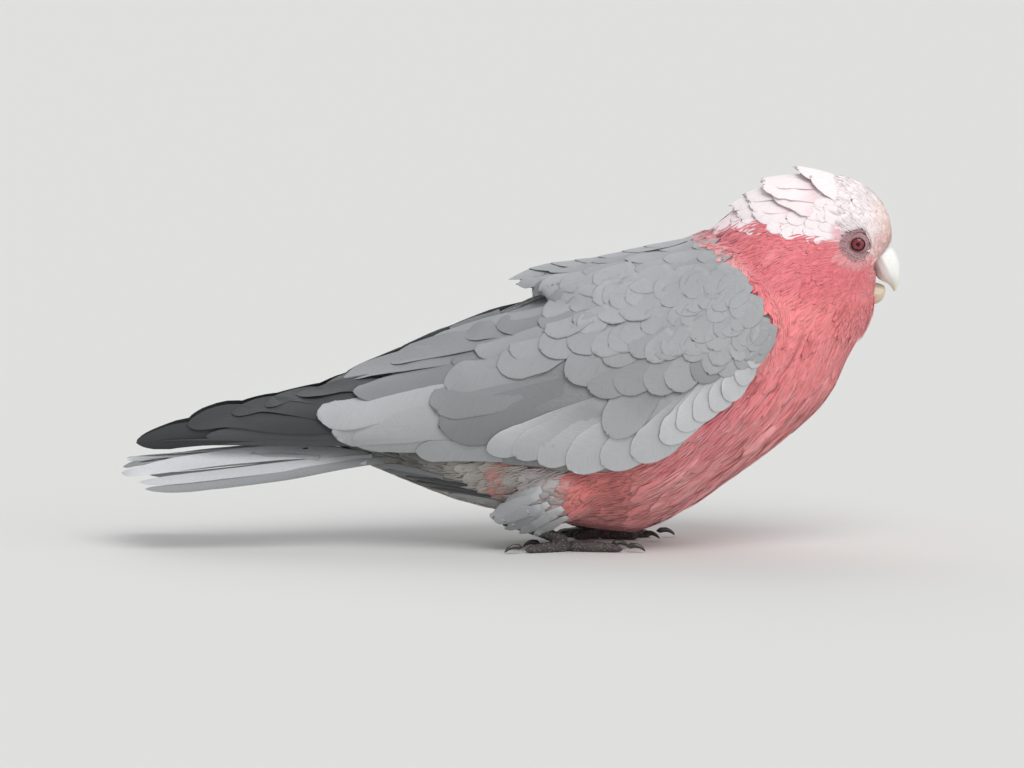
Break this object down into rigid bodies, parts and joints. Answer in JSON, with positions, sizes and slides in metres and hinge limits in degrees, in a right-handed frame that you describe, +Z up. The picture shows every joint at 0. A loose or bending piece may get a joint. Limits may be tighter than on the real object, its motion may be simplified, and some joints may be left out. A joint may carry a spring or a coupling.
{
  "type": "galah",
  "caption": "Life-size still galah, a pink and grey cockatoo, standing low on its feet with folded wings, a laid-back crest and a lowered tail.",
  "frame": {"origin": "on the floor under the middle of the bird's bounding box", "axes": "+X forward, the way the bill points, +Y to the bird's left, +Z up"},
  "size_m": [0.327, 0.098, 0.1607],
  "materials": {
    "plumage_rose": "soft feathers, matte",
    "plumage_cap": "soft feathers, matte",
    "plumage_grey": "smooth feathers, matte",
    "plumage_slate": "stiff feathers, satin",
    "plumage_tail": "stiff feathers, satin",
    "plumage_thigh": "soft feathers, matte",
    "bill": "smooth horn, satin",
    "eye": "wet gloss",
    "foot_skin": "scaly, matte",
    "claw": "horn, satin"
  },
  "bodies": {
    "root": {"trunk": "plumage_rose", "neck": "plumage_rose", "head": "plumage_cap", "crest": "plumage_cap", "bill_upper": "bill", "bill_lower": "bill", "eye_left": "eye", "eye_right": "eye", "mantle_left": "plumage_grey", "mantle_right": "plumage_grey", "wing_coverts_left": "plumage_grey", "wing_coverts_right": "plumage_grey", "wing_flight_left": "plumage_grey", "wing_flight_right": "plumage_grey", "wing_tip_left": "plumage_slate", "wing_tip_right": "plumage_slate", "tail": "plumage_tail", "thigh_left": "plumage_thigh", "thigh_right": "plumage_thigh", "shank_left": "foot_skin", "shank_right": "foot_skin", "foot_left": "foot_skin", "foot_right": "foot_skin", "claw_inner_front_left": "claw", "claw_outer_front_left": "claw", "claw_inner_back_left": "claw", "claw_outer_back_left": "claw", "claw_inner_front_right": "claw", "claw_outer_front_right": "claw", "claw_inner_back_right": "claw", "claw_outer_back_right": "claw"}
  },
  "joints": []
}
